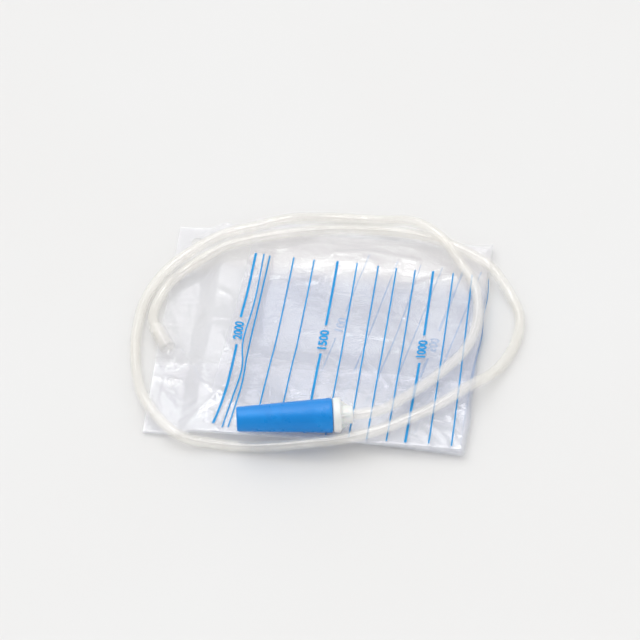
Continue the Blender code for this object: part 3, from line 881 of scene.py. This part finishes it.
@dataclass
class VolumeScale:
    """The blue scale printed on the front film: lines across it, and numbers at the round ones."""

    fold: BagFold
    thin: float = 0.00075
    thick: float = 0.0013
    step: float = 0.0009
    stand_off: float = 0.00007
    number_height: float = 0.0049
    number_pitch: float = 0.0033
    number_weight: float = 0.04
    number_gap: float = 0.0097
    number_reach: int = 8
    longest_edge: float = 0.12
    on_fold: tuple = ((2.4, 27.5), (2.8, 50.0), (4.4, 72.0), (5.8, 100.0), (6.4, 144.0))
    above: tuple = (
        ScaleLine(((-41.9, 53.6), (-43.0, 29.6), (-45.0, 5.3), (-44.4, -13.3), (-45.3, -31.7),
                   (-46.3, -49.9), (-50.1, -69.3)), "2000", (-44.5, -3.3), True),
        ScaleLine(((-37.5, 53.2), (-38.5, 19.0), (-41.7, -8.8), (-41.1, -18.7), (-39.5, -27.7),
                   (-40.5, -41.7), (-45.3, -70.9))),
        ScaleLine(((-34.2, 52.1), (-36.4, 19.2), (-38.5, -18.4), (-38.2, -39.4), (-39.9, -55.4),
                   (-42.3, -70.6))),
        ScaleLine(((-21.3, 52.5), (-23.6, 8.0), (-27.5, -51.5), (-28.9, -71.0))),
        ScaleLine(((-10.3, 52.0), (-12.6, 2.0), (-15.9, -49.0), (-17.2, -71.0))),
        ScaleLine(((2.4, 51.8), (0.0, -5.8), (-2.0, -48.3), (-3.2, -71.0)), "1500", (0.2, -4.0), True),
        ScaleLine(((12.9, 51.4), (11.0, 4.0), (9.2, -41.8), (7.7, -71.2))),
        ScaleLine(((24.3, 51.0), (22.4, 4.0), (20.7, -43.4), (19.4, -71.5))),
        ScaleLine(((34.1, 50.8), (32.2, 4.0), (30.0, -43.2), (28.6, -71.8))),
        ScaleLine(((44.2, 50.2), (42.4, 4.0), (40.5, -39.4), (38.6, -72.0))),
        ScaleLine(((53.9, 49.9), (52.1, -8.3), (48.2, -72.3)), "1000", (52.2, -6.5), True),
        ScaleLine(((64.7, 49.0), (62.7, -10.0), (60.1, -72.1))),
        ScaleLine(((74.8, 48.8), (73.6, -12.0), (71.7, -71.9))),
    )
    below: tuple = (
        ScaleLine(((79.5, 58.0), (66.0, 0.0), (52.0, -60.0))),
        ScaleLine(((70.0, 59.0), (57.5, 3.0), (43.5, -60.0)), "500", (57.5, 3.0), True),
        ScaleLine(((58.5, 59.5), (46.5, 6.0), (32.0, -60.0))),
        ScaleLine(((46.7, 60.5), (41.6, 28.8), (35.6, -2.2), (21.0, -60.0))),
        ScaleLine(((34.1, 62.3), (27.6, 28.9), (20.6, -6.4), (9.0, -60.0))),
        ScaleLine(((18.5, 65.4), (12.5, 37.8), (5.7, 0.7), (-8.0, -60.0)), "100", (7.9, 12.5)),
    )

    def laid(self, flat: Array) -> Array:
        """Works out where the ink lies, just clear of the front film.

        Args:
            flat: Flat places.

        Returns:
            The places that they come to.
        """
        down, across = flat[:, 0], flat[:, 1]
        spot = self.fold.place(down, across, Film.FRONT)
        return spot + self.fold.outward(down, across, Film.FRONT) * self.stand_off

    def smooth(self, line: Array) -> Array:
        """Rounds a line's corners and spaces out its points.

        Args:
            line: Its flat places.

        Returns:
            The rounded line, with a point at every step.
        """
        for _ in range(3):
            cut = np.stack([0.75 * line[:-1] + 0.25 * line[1:], 0.25 * line[:-1] + 0.75 * line[1:]], axis=1)
            line = np.concatenate([line[:1], cut.reshape(-1, 2), line[-1:]])
        runs = np.concatenate([[0.0], np.cumsum(np.linalg.norm(np.diff(line, axis=0), axis=1))])
        stops = np.linspace(0.0, runs[-1], max(3, round(runs[-1] / self.step)))
        return np.stack([np.interp(stops, runs, line[:, k]) for k in (0, 1)], axis=-1)

    def draw(self, ink: bmesh.types.BMesh, line: ScaleLine, flat: Array, middle: Array) -> None:
        """Adds a line's strips to the ink, with a gap at its number.

        Args:
            ink: The print.
            line: The line.
            flat: The flat places that it runs through.
            middle: The flat place of its number's middle.
        """
        width = self.thick if line.wide else self.thin
        keep = np.hypot(*(flat - middle).T) > (self.number_gap if line.number else -1.0)
        tangent = np.gradient(flat, axis=0)
        tangent /= np.linalg.norm(tangent, axis=1, keepdims=True)
        side = np.stack([tangent[:, 1], -tangent[:, 0]], axis=-1) * width / 2
        rows = [[ink.verts.new(spot) if kept else None for spot, kept in zip(self.laid(edge), keep)]
                for edge in (flat - side, flat + side)]
        for k in np.flatnonzero(keep[:-1] & keep[1:]):
            ink.faces.new((rows[0][k], rows[0][k + 1], rows[1][k + 1], rows[1][k]))

    def write(self, ink: bmesh.types.BMesh, number: str, flat: Array, middle: Array) -> None:
        """Adds a number to the ink, reading from the near side to the far one along its line.

        Args:
            ink: The print.
            number: The number.
            flat: The flat places that its line runs through.
            middle: The flat place of its middle.
        """
        deselect()
        bpy.ops.object.text_add()
        text = bpy.context.object
        text.data.body = number
        text.data.size, text.data.resolution_u, text.data.offset = 1.0, 6, self.number_weight
        bpy.ops.object.convert(target="MESH")
        text = bpy.context.object
        shape = bmesh.new()
        shape.from_mesh(text.data)
        bmesh.ops.triangulate(shape, faces=shape.faces)
        long_edges = [edge for edge in shape.edges if edge.calc_length() > self.longest_edge]
        bmesh.ops.subdivide_edges(shape, edges=long_edges, cuts=3)
        bmesh.ops.triangulate(shape, faces=shape.faces)
        spots = np.array([v.co.xy for v in shape.verts])
        low, high = spots.min(0), spots.max(0)
        size = np.array([self.number_pitch * len(number), self.number_height])
        spots = (spots - (low + high) / 2) * size / (high - low)
        near = int(np.argmin(np.hypot(*(flat - middle).T)))
        ahead = flat[max(near - self.number_reach, 0)] - flat[min(near + self.number_reach, len(flat) - 1)]
        ahead /= np.linalg.norm(ahead)
        up = np.array([ahead[1], -ahead[0]])
        places = self.laid(flat[near] + spots[:, :1] * ahead + spots[:, 1:] * up)
        made = [ink.verts.new(place) for place in places]
        shape.verts.index_update()
        for face in shape.faces:
            ink.faces.new([made[v.index] for v in face.verts])
        shape.free()
        bpy.data.objects.remove(text)

    def make(self, name: str, finish: InkFinish) -> Object:
        """Makes the print of both panels as one thin piece.

        Args:
            name: The piece's name.
            finish: Its finish.

        Returns:
            The piece.
        """
        ink = bmesh.new()
        for lines, flatten in ((self.above, self.fold.flat_above), (self.below, self.fold.flat_below)):
            for line in lines:
                flat = self.smooth(np.stack(flatten(*np.array(line.points).T * MM), axis=-1))
                middle = np.array(flatten(*np.array(line.number_at) * MM))
                self.draw(ink, line, flat, middle)
                if line.number:
                    self.write(ink, line.number, flat, middle)
        fold_line = np.array(self.on_fold) * MM + np.array([self.fold.cross_start, 0.0])
        self.draw(ink, ScaleLine(()), self.smooth(fold_line), fold_line[0])
        self.face_outward(ink)
        mesh = bpy.data.meshes.new(name)
        ink.to_mesh(mesh)
        ink.free()
        return add_piece(name, mesh, finish.make())

    def face_outward(self, ink: bmesh.types.BMesh) -> None:
        """Turns each face to the bag's outer side: up on top, down below, and away from it at the fold.

        Args:
            ink: The print.
        """
        for face in ink.faces:
            face.normal_update()
            flip = face.normal.x < 0
            if abs(face.normal.z) > 0.2:
                flip = (face.normal.z > 0) != (face.calc_center_median().z > self.fold.core_height)
            if flip:
                face.normal_flip()
            face.smooth = True


def turn_up(name: str, profile: tuple, sides: int, closed: bool) -> Object:
    """Draws a turned piece up from a circle, one extrusion for each point of its profile.

    Args:
        name: The piece's name.
        profile: Points (radius, height), in metres.
        sides: The sides of its rings.
        closed: Whether the last ring meets the first, as round a bore.

    Returns:
        The piece, standing on +Z.
    """
    points = [*profile, profile[0]] if closed else list(profile)
    deselect()
    bpy.ops.mesh.primitive_circle_add(vertices=sides, radius=points[0][0], location=(0, 0, 0))
    piece = bpy.context.object
    piece.name = name
    bpy.ops.object.mode_set(mode="EDIT")
    bpy.ops.mesh.select_all(action="SELECT")
    bpy.ops.transform.translate(value=(0, 0, points[0][1]))
    for (radius, height), (next_radius, next_height) in zip(points, points[1:]):
        bpy.ops.mesh.extrude_region_move(TRANSFORM_OT_translate={"value": (0, 0, next_height - height)})
        grow = next_radius / radius
        bpy.ops.transform.resize(value=(grow, grow, 1), center_override=(0, 0, next_height))
    bpy.ops.mesh.select_all(action="SELECT")
    if closed:
        bpy.ops.mesh.remove_doubles(threshold=0.000005)
    else:
        bpy.ops.mesh.fill_holes(sides=0)
        bpy.ops.mesh.select_all(action="SELECT")
    bpy.ops.mesh.normals_make_consistent(inside=False)
    bpy.ops.object.mode_set(mode="OBJECT")
    return piece


def soften(piece: Object, width: float, angle: float) -> None:
    """Rounds a piece's corners with a bevel, and shades it smooth.

    Args:
        piece: The piece.
        width: The bevel's width.
        angle: The least angle that it rounds, in degrees.
    """
    take(piece)
    bevel = piece.modifiers.new("Rounding", "BEVEL")
    bevel.width, bevel.segments = width, 2
    bevel.limit_method, bevel.angle_limit = "ANGLE", math.radians(angle)
    bpy.ops.object.modifier_apply(modifier=bevel.name)
    bpy.ops.object.shade_smooth_by_angle(angle=math.radians(40))


def set_down(piece: Object, place: Vector, heading: Vector) -> None:
    """Carries a piece that stands on +Z to where it lies, and applies that to its mesh.

    Args:
        piece: The piece.
        place: Where its origin goes.
        heading: Where its +Z points.
    """
    take(piece)
    piece.rotation_mode = "QUATERNION"
    piece.rotation_quaternion = heading.to_track_quat("Z", "Y")
    piece.location = place
    bpy.ops.object.transform_apply(location=True, rotation=True, scale=True)


def blend_in(piece: Object, parts: list) -> None:
    """Joins parts to a piece, as one moulding of several shells.

    Args:
        piece: The piece.
        parts: The parts.
    """
    take(piece)
    for part in parts:
        part.select_set(True)
    bpy.ops.object.join()


@dataclass
class InletPort:
    """The soft sleeve welded between the films at the top edge, with rings that the weld grips."""

    place: Vector
    heading: Vector
    length: float = 0.016
    radius: float = 0.0042
    bore: float = 0.00335
    ring_depth: float = 0.0003
    ring_margin: float = 0.003
    corner: float = 0.0005
    rounding: float = 0.0001
    rings: int = 4
    sides: int = 56

    def make(self) -> Object:
        """Makes the sleeve.

        Returns:
            The sleeve.
        """
        rim, foot, corner = self.radius, self.radius - self.ring_depth, self.corner
        outer = [(rim - corner, 0.0), (rim, -corner)]
        pitch = (self.length - 2 * self.ring_margin) / self.rings
        for number in range(self.rings):
            start = -self.ring_margin - number * pitch
            outer += [(rim, start), (foot, start - pitch * 0.25), (foot, start - pitch * 0.55),
                      (rim, start - pitch * 0.8)]
        outer += [(rim, corner - self.length), (rim - corner, -self.length)]
        profile = (*outer, (self.bore, -self.length), (self.bore, 0.0))
        port = turn_up("port_sleeve", profile, self.sides, True)
        soften(port, self.rounding, 30)
        set_down(port, self.place, self.heading)
        port.data.materials.append(MouldedFinish(
            "soft_clear_pvc", colour(0.97, 0.965, 0.95), colour(0.95, 0.94, 0.92), (0.2, 0.32),
            alpha=0.22, coat=0.5).make())
        return port


@dataclass
class NonReturnValve:
    """The flat sleeve of thin film that runs from the port into the bag."""

    fold: BagFold
    length: float = 0.040
    width: float = 0.016
    port_length: float = 0.016
    port_gap: float = 0.0008
    taper: float = 0.10
    film: float = 0.0002
    clear: float = 0.0007
    lift: float = 0.0022
    mouth: float = 0.014
    arch: float = 2.8
    weld_band: tuple = (0.74, 0.84)
    flat_inset: float = 0.02
    points: tuple = (65, 29)

    def make(self) -> Object:
        """Makes the sleeve as one sheet that rides over the back film.

        Returns:
            The sleeve.
        """
        fold = self.fold
        shares = (np.linspace(start, 1.0, count) for start, count in zip((0.0, -1.0), self.points))
        run, side = np.meshgrid(*shares, indexing="ij")
        inward = self.port_length + self.port_gap + run * self.length
        aside = side * self.width / 2 * (1 - self.taper * run)
        (out_x, out_y), (head_x, head_y) = fold.port_exit, fold.port_heading
        x, y = out_x - head_x * inward - head_y * aside, out_y - head_y * inward + head_x * aside
        z = fold.plain_height(x, y, Film.BACK.value[0], 1.0) + fold.crumple(x, y) + self.clear
        arch = np.cos(side * np.pi / self.arch) ** 2
        z = z + self.lift * (1 - ease(run * self.length, 0.0, self.mouth)) * arch
        quads = grid_quads(*self.points).reshape(-1, 4)[:, [0, 3, 2, 1]]
        flat = np.stack([side * self.width / 2 + self.flat_inset, run * self.length], axis=-1).reshape(-1, 2)
        valve = lay_quads("valve_sleeve", np.stack([x, y, z], axis=-1) + np.array(fold.mark), quads,
                          flat[quads] / fold.flat_length, FilmFinish("clear_valve_film", alpha=0.1).make())
        mark_weld(valve, ease(np.abs(side), *self.weld_band))
        take(valve)
        thicken = valve.modifiers.new("Film", "SOLIDIFY")
        thicken.thickness, thicken.offset = self.film, 0.0
        bpy.ops.object.modifier_apply(modifier=thicken.name)
        bpy.ops.object.shade_smooth_by_angle(angle=math.radians(50))
        return valve


@dataclass
class InletTube:
    """The soft hose from the port to the connector, along a listed route, in millimetres."""

    route: tuple = (
        (-79.2, -19.85, 5.1), (-82.2, -14.65, 5.1), (-85.2, -9.45, 5.1), (-87.5, -3.85, 4.4),
        (-88.3, 2.65, 3.5), (-87.3, 10.15, 4), (-83.5, 20.65, 5.4), (-76.9, 31.15, 5.7), (-67.9, 40.15, 7.2),
        (-54.9, 48.15, 10.9), (-32.9, 57.65, 11), (-8.9, 64.15, 11), (15.1, 67.15, 11), (37.1, 67.15, 11),
        (53.1, 64.65, 11), (67.1, 59.65, 11), (79.1, 52.75, 11), (87.1, 46.95, 10.6), (93.6, 40.75, 7),
        (99.6, 32.15, 3.9), (104.6, 19.15, 3.2), (103.6, 0.65, 3.2), (98.1, -14.85, 3.4),
        (91.6, -26.35, 5.6), (85.6, -34.85, 9.6), (80.1, -40.85, 11), (65.6, -54.85, 11), (52.6, -64.35, 11),
        (40.6, -72.35, 11), (29.1, -77.85, 10.9), (17.6, -81.85, 10.3), (3.1, -84.15, 8.8),
        (-9.4, -85.15, 6.6), (-21.9, -85.35, 4.5), (-34.4, -85.15, 3.3), (-46.9, -84.45, 3.4),
        (-57.4, -84.55, 5), (-66.2, -81.85, 6.9), (-73.9, -74.85, 7), (-80.5, -66.65, 7.1),
        (-85.9, -57.35, 6.4), (-89.7, -46.35, 4.2), (-92.9, -33.35, 3.2), (-95.1, -17.85, 3.2),
        (-95.4, -2.85, 3.2), (-94.1, 10.65, 3.4), (-89.9, 23.65, 4.4), (-82.7, 36.45, 5.5),
        (-71.9, 47.95, 6.9), (-57.4, 56.65, 10.9), (-39.9, 64.65, 11), (-22.9, 72.25, 10.6),
        (-7.9, 78.15, 6.9), (6.1, 81.35, 4.6), (18.1, 81.35, 4.6), (29.6, 78.65, 8), (40.1, 73.95, 13.7),
        (51.1, 66.65, 17.4), (62.1, 57.65, 16.5), (71.6, 46.15, 11.7), (79.1, 33.65, 11), (82.4, 18.15, 11),
        (82.1, 1.15, 11), (77.6, -14.85, 11), (68.6, -28.85, 11), (58.1, -41.35, 11), (49.6, -51.05, 11.9),
        (41.7, -60.55, 14.2), (34.5, -66.85, 16.3), (26.3, -69.55, 16.75), (14.3, -71.39, 16.75),
    )
    radius: float = 0.0030
    bore: float = 0.0023
    step: float = 0.0014
    sides: int = 28

    def line(self) -> Array:
        """Draws the hose's centreline, a centripetal curve through the route.

        Returns:
            An even run of points on it.
        """
        knots = [np.array(point) * MM for point in self.route]
        knots = [2 * knots[0] - knots[1], *knots, 2 * knots[-1] - knots[-2]]
        dense = []
        for a, b, c, d in zip(knots, knots[1:], knots[2:], knots[3:]):
            t1, t2, t3 = np.cumsum([math.sqrt(np.linalg.norm(q - p)) for p, q in ((a, b), (b, c), (c, d))])
            for t in np.linspace(t1, t2, 24, endpoint=False):
                ab = (a * (t1 - t) + b * t) / t1
                bc = (b * (t2 - t) + c * (t - t1)) / (t2 - t1)
                cd = (c * (t3 - t) + d * (t - t2)) / (t3 - t2)
                abc, bcd = (ab * (t2 - t) + bc * t) / t2, (bc * (t3 - t) + cd * (t - t1)) / (t3 - t1)
                dense.append((abc * (t2 - t) + bcd * (t - t1)) / (t2 - t1))
        dense = np.array([*dense, knots[-2]])
        runs = np.concatenate(([0.0], np.cumsum(np.linalg.norm(np.diff(dense, axis=0), axis=1))))
        stops = np.linspace(0.0, runs[-1], round(runs[-1] / self.step))
        return np.stack([np.interp(stops, runs, dense[:, k]) for k in range(3)], axis=-1)

    def make(self, line: Array) -> Object:
        """Makes the hose from rings: its outer wall and its bore, joined at both ends.

        Args:
            line: Its centreline.

        Returns:
            The hose, with a UV map that runs round and along it.
        """
        tangent = np.gradient(line, axis=0)
        tangent /= np.linalg.norm(tangent, axis=1, keepdims=True)
        side = np.cross(tangent, (0.0, 0.0, 1.0))
        side /= np.linalg.norm(side, axis=1, keepdims=True)
        over = np.cross(side, tangent)
        turns = np.linspace(0.0, math.tau, self.sides, endpoint=False)[None, :, None]
        ring = np.cos(turns) * side[:, None, :] + np.sin(turns) * over[:, None, :]
        spots = np.concatenate([line[:, None, :] + ring * size for size in (self.radius, self.bore)])
        count, sides = len(line), self.sides
        first = np.concatenate([np.arange(count - 1), np.arange(count + 1, 2 * count), [count, count - 1]])
        second = np.concatenate([np.arange(1, count), np.arange(count, 2 * count - 1), [0, 2 * count - 1]])
        rings = np.stack([first, first, second, second], axis=-1)[:, None, :]
        places = np.arange(sides)[:, None] + np.array([0, 1, 1, 0])
        quads = (rings * sides + places % sides).reshape(-1, 4)
        flat = np.stack(np.broadcast_arrays(places / sides, rings % count / count * 50), axis=-1)
        return lay_quads("inlet_hose", spots, quads, flat, HoseFinish("clear_cream_pvc").make())


@dataclass
class TubeConnector:
    """The stepped connector at the tube's end: nozzle, seat, collar and ribbed socket in one moulding."""

    place: Vector
    heading: Vector
    collar_radius: float = 0.00895
    collar: float = 0.004
    seat_radius: float = 0.0072
    seat: float = 0.004
    socket_radius: float = 0.0047
    socket: float = 0.006
    socket_bore: float = 0.00335
    nozzle_end: float = 0.041
    nozzle_bore: float = 0.0022
    steps: tuple = ((0.0057, 0.0050), (0.0052, 0.0044), (0.0046, 0.0036))
    gussets: int = 4
    gusset_width: float = 0.0009
    gusset_root: float = 0.0004
    gusset_inset: float = 0.0012
    gusset_toe: float = 0.0001
    gusset_reach: float = 0.72
    gusset_rounding: float = 0.00012
    rounding: float = 0.00018
    sides: int = 72

    def make(self) -> Object:
        """Makes the moulding.

        Returns:
            The connector.
        """
        back, foot = -self.collar, -self.collar - self.socket
        run = (self.nozzle_end - self.seat) / len(self.steps)
        outer = []
        for number, (wide, narrow) in enumerate(self.steps):
            base = self.seat + number * run
            outer = [(narrow, base + run), (wide - 0.0001, base + run * 0.12), (wide, base)] + outer
        profile = (
            *outer, (self.seat_radius, self.seat), (self.seat_radius, 0.0),
            (self.collar_radius - 0.0006, 0.0), (self.collar_radius, -0.0007),
            (self.collar_radius, back + 0.0007), (self.collar_radius - 0.0006, back),
            (self.socket_radius + 0.0009, back), (self.socket_radius, back - 0.0009),
            (self.socket_radius, foot + 0.0012), (self.socket_radius - 0.0003, foot),
            (self.socket_bore, foot), (self.socket_bore, 0.0),
            (self.nozzle_bore, 0.0), (self.nozzle_bore, self.nozzle_end),
        )
        connector = turn_up("stepped_connector", profile, self.sides, True)
        soften(connector, self.rounding, 28)
        blend_in(connector, [self.gusset(number) for number in range(self.gussets)])
        set_down(connector, self.place, self.heading)
        connector.data.materials.append(MouldedFinish(
            "white_moulding", colour(0.91, 0.915, 0.915), colour(0.89, 0.895, 0.89), (0.28, 0.4),
            glow=0.1, coat=0.2).make())
        return connector

    def gusset(self, number: int) -> Object:
        """Makes one triangular rib between the collar's back and the socket.

        Args:
            number: Which of the ribs it is.

        Returns:
            The rib, turned to its place.
        """
        deselect()
        bpy.ops.mesh.primitive_cube_add(size=1)
        rib = bpy.context.object
        inner, outer = self.socket_radius - self.gusset_root, self.collar_radius - self.gusset_inset
        for vertex in rib.data.vertices:
            low = vertex.co.z < 0
            edge = self.socket_radius + self.gusset_toe if low else outer
            vertex.co.x = inner if vertex.co.x < 0 else edge
            vertex.co.y = math.copysign(self.gusset_width / 2, vertex.co.y)
            vertex.co.z = -self.collar + (-self.socket * self.gusset_reach if low else self.gusset_root)
        soften(rib, self.gusset_rounding, 25)
        rib.rotation_euler = (0, 0, math.tau * (number + 0.5) / self.gussets)
        bpy.ops.object.transform_apply(location=True, rotation=True, scale=True)
        return rib


@dataclass
class ConnectorCap:
    """The blue cap over the nozzle, closed and a little hollowed at its far end."""

    place: Vector
    heading: Vector
    gap: float = 0.0003
    length: float = 0.0485
    mouth_radius: float = 0.0089
    end_radius: float = 0.0063
    wall: float = 0.0012
    gate_radius: float = 0.0009
    rounding: float = 0.00012
    sides: int = 96

    def make(self) -> Object:
        """Makes the cap.

        Returns:
            The cap.
        """
        mouth, end, gate = self.gap, self.gap + self.length, self.gate_radius
        rim, tip, roof = self.mouth_radius, self.end_radius, end - self.wall - 0.0006
        profile = (
            (0.0001, end - 0.0002), (gate * 0.7, end - 0.0002), (gate, end - 0.0005),
            (tip - 0.0019, end - 0.0005), (tip - 0.0015, end - 0.00005), (tip - 0.0008, end),
            (tip - 0.0002, end - 0.00025), (tip, end - 0.0009),
            (rim - 0.00015, mouth + 0.0030), (rim, mouth + 0.0026), (rim, mouth + 0.0005),
            (rim - 0.0004, mouth), (rim - self.wall + 0.0002, mouth), (rim - self.wall, mouth + 0.0003),
            (tip - self.wall, roof), (0.0001, roof),
        )
        cap = turn_up("pull_off_cap", profile, self.sides, False)
        soften(cap, self.rounding, 28)
        set_down(cap, self.place, self.heading)
        cap.data.materials.append(MouldedFinish(
            "blue_moulding", colour(0.0, 0.5, 0.82), colour(0.02, 0.53, 0.85), (0.26, 0.36),
            shine=0.36).make())
        return cap


def main() -> None:
    """Builds the studio, then dresses the bag from its films to its cap."""
    logging.basicConfig(level=logging.INFO, format="%(name)s %(message)s")
    studio = Studio()
    studio.add_camera()
    studio.add_floor()
    studio.add_light()
    fold, tube = BagFold(), InletTube()
    line = tube.line()
    fold.rest_under(line)
    films = BagFilms(fold)
    port_place = fold.from_mark(*fold.port_exit, fold.port_height)
    nozzle = (fold.from_mark(*NOZZLE_PLACE), Vector(NOZZLE_HEADING).normalized())

    hose = tube.make(line)
    connector = TubeConnector(*nozzle).make()
    cap = ConnectorCap(*nozzle).make()
    front = films.make("printed_front_sheet", Film.FRONT, FilmFinish("lilac_front_film"))
    back = films.make("plain_back_sheet", Film.BACK, FilmFinish("milky_back_film", alpha=0.29))
    scale = VolumeScale(fold).make("volume_scale", InkFinish("blue_ink"))
    port = InletPort(port_place, Vector((*fold.port_heading, 0.0)).normalized()).make()
    valve = NonReturnValve(fold).make()
    for piece, body, node, slot in (
        (hose, "bag", "inlet_tube", "tube"), (connector, "bag", "tube_connector", "connector"),
        (cap, "cap", "connector_cap", "cap"), (front, "bag", "front_film", "printed_film"),
        (back, "bag", "back_film", "back_film"), (port, "bag", "inlet_port", "port"),
        (valve, "bag", "non_return_valve", "valve_film"),
    ):
        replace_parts(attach(piece, body), node)
    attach(scale, "bag")
    for piece in (hose, connector, cap, front, back, scale, port, valve):
        log.info("%s: %d faces", piece.name, len(piece.data.polygons))


if __name__ == "__main__":
    main()
